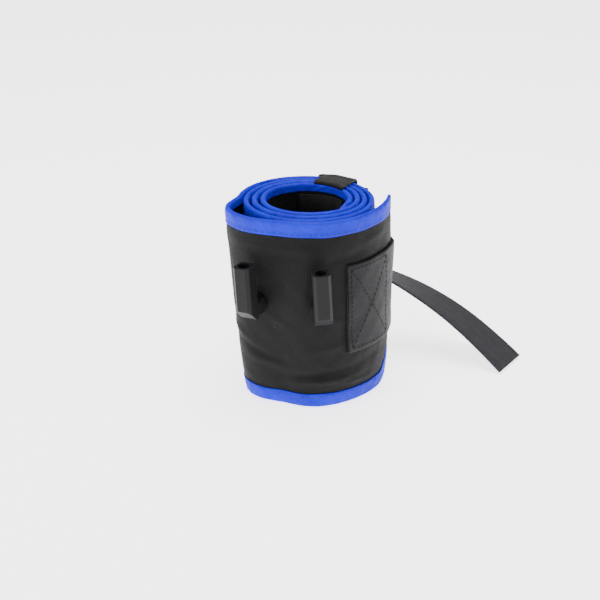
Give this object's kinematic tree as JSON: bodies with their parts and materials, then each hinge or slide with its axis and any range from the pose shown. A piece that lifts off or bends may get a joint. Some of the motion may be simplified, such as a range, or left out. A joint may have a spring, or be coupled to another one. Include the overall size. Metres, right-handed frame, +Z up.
{
  "type": "gait belt",
  "caption": "Padded transfer belt rolled up on its edge, with bound edges, moulded strap hooks, sewn end webbing, a side-release buckle and a loose strap tail.",
  "frame": {"origin": "middle of the footprint, at the height of the floor that the roll stands on", "axes": "+Z up along the roll's axis, +X to the side where the strap tail lies, +Y to the back of the roll, away from the hooks"},
  "size_m": [0.1618, 0.1052, 0.1057],
  "materials": {
    "cover_nylon": "matt black woven nylon",
    "lining": "matt black tricot",
    "foam": "open-cell foam",
    "binding": "royal blue folded nylon tape",
    "webbing": "charcoal woven webbing",
    "strap": "charcoal woven webbing",
    "rim_strap": "olive-black woven webbing",
    "thread": "black bonded thread",
    "hook_plastic": "dark grey moulded plastic",
    "buckle_plastic": "black moulded plastic",
    "screw_steel": "zinc plated steel"
  },
  "bodies": {
    "coil": {"coil_cover": "cover_nylon", "coil_foam": "foam", "coil_lining": "lining", "coil_binding_top": "binding", "coil_binding_bottom": "binding", "rim_strap": "rim_strap", "rim_stitching": "thread"},
    "outer_turn": {"flap_cover": "cover_nylon", "flap_foam": "foam", "flap_lining": "lining", "flap_binding_top": "binding", "flap_binding_bottom": "binding", "hook_left": "hook_plastic", "hook_right": "hook_plastic", "hook_plate_left": "hook_plastic", "hook_plate_right": "hook_plastic", "hook_screws": "screw_steel", "end_webbing": "webbing", "box_stitching": "thread"},
    "webbing_end": {"webbing_tab": "webbing", "strap_run": "strap", "strap_stitching": "thread", "strap_twist": "strap", "buckle_male": "buckle_plastic"},
    "tail": {"strap_tail": "strap"},
    "upper_prong": {"prong_upper": "buckle_plastic"},
    "lower_prong": {"prong_lower": "buckle_plastic"},
    "socket": {"buckle_female": "buckle_plastic"}
  },
  "joints": [
    {"name": "outer_turn_open", "type": "hinge", "parent": "coil", "child": "outer_turn", "pos_m": [-0.08, -0.01673, 0.052], "axis": [0, 0, -1], "range_deg": [0, 60]},
    {"name": "webbing_end_open", "type": "hinge", "parent": "outer_turn", "child": "webbing_end", "pos_m": [0.0038, 0.00002, 0.0545], "axis": [0, 0, -1], "range_deg": [0, 80]},
    {"name": "tail_lift", "type": "hinge", "parent": "webbing_end", "child": "tail", "pos_m": [-0.00288, 0.03937, 0.04864], "axis": [-0.1492, -0.9825, 0.1117], "range_deg": [0, 30]},
    {"name": "socket_swing", "type": "hinge", "parent": "coil", "child": "socket", "pos_m": [-0.0239, 0.0325, 0.096], "axis": [0.9063, -0.4226, 0], "range_deg": [0, 70]},
    {"name": "upper_prong_squeeze", "type": "hinge", "parent": "webbing_end", "child": "upper_prong", "pos_m": [-0.05319, 0.04045, 0.0661], "axis": [0, -1, 0], "range_deg": [0, 5], "stiffness_Nm_per_rad": 0.2},
    {"name": "lower_prong_squeeze", "type": "hinge", "parent": "webbing_end", "child": "lower_prong", "pos_m": [-0.05319, 0.04045, 0.0429], "axis": [0, 1, 0], "range_deg": [0, 5], "stiffness_Nm_per_rad": 0.2}
  ],
  "couplings": [
    {"joint": "webbing_end_open", "follows": "outer_turn_open", "ratio": 1.3},
    {"joint": "lower_prong_squeeze", "follows": "upper_prong_squeeze", "ratio": 1}
  ]
}
